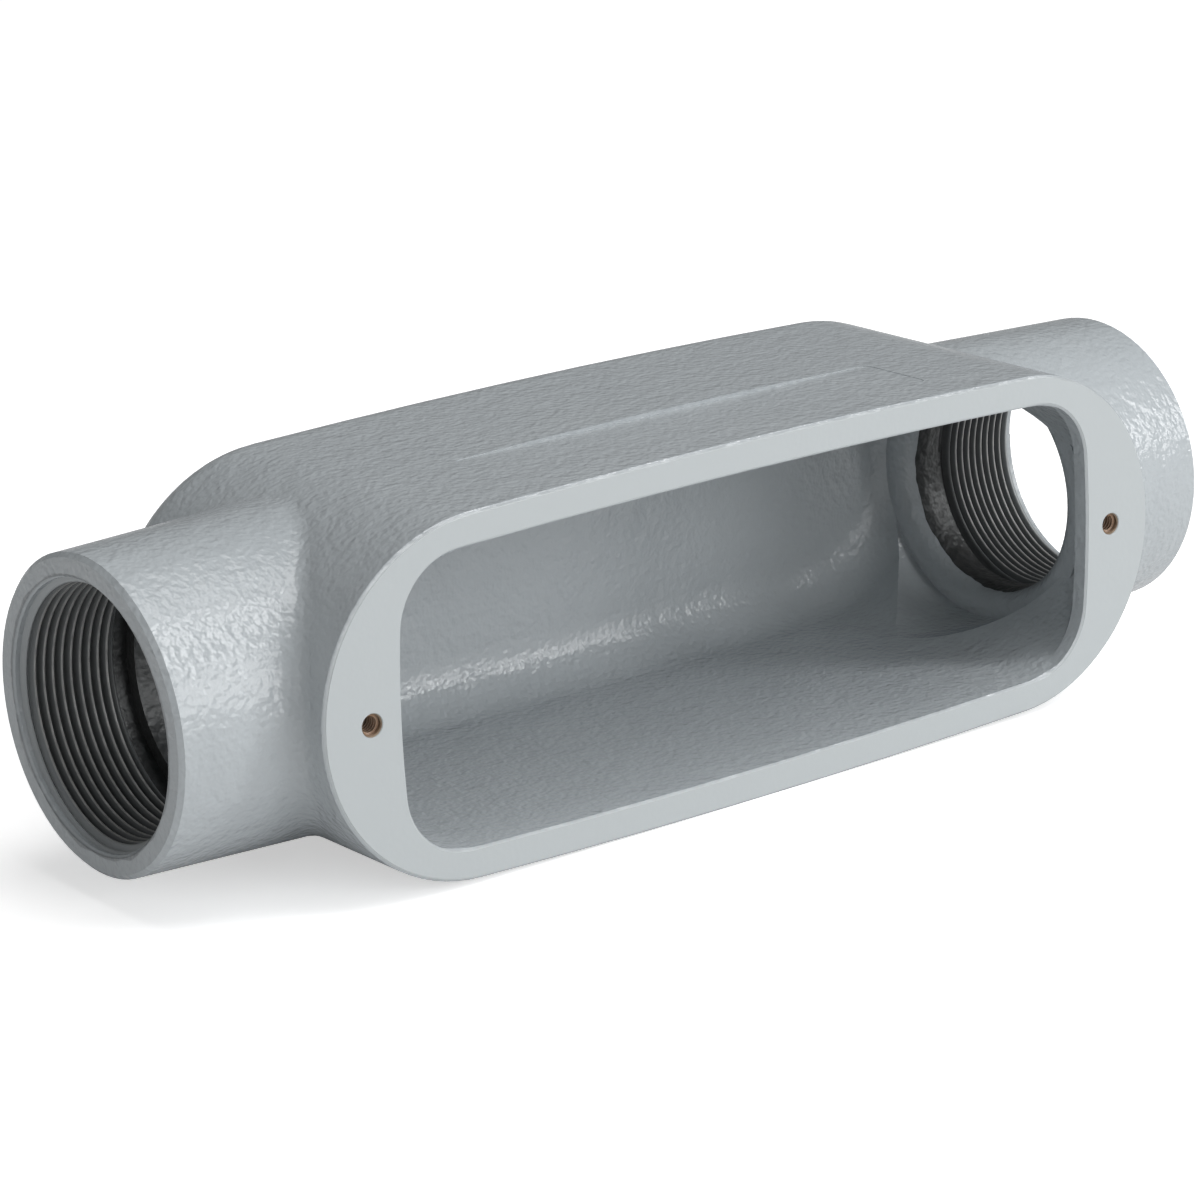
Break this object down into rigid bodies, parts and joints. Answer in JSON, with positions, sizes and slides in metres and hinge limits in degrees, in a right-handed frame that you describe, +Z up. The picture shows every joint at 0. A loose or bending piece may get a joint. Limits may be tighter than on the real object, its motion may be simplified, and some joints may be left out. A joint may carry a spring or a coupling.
{
  "type": "conduit body",
  "caption": "Straight-through conduit body: one painted iron casting with a tapped hub at each end, a long wiring opening in its side and tapped holes for the screws of its cover.",
  "frame": {"origin": "on the common axis of the two hubs, halfway between their outer ends", "axes": "+X along the conduit run, -Y out of the cover face, +Z up across the body; the part lies on its lower long side"},
  "size_m": [0.294, 0.0875, 0.0832],
  "materials": {
    "painted_casting": "grey enamel over cast iron, glossy, with the fine roughness of the sand mould showing through",
    "cut_thread": "cut iron thread with grey enamel thrown into it, worn to bare metal on the crests",
    "screw_thread": "bare cut iron thread, brown from storage"
  },
  "bodies": {
    "root": {"conduit_body": "painted_casting"}
  },
  "joints": []
}
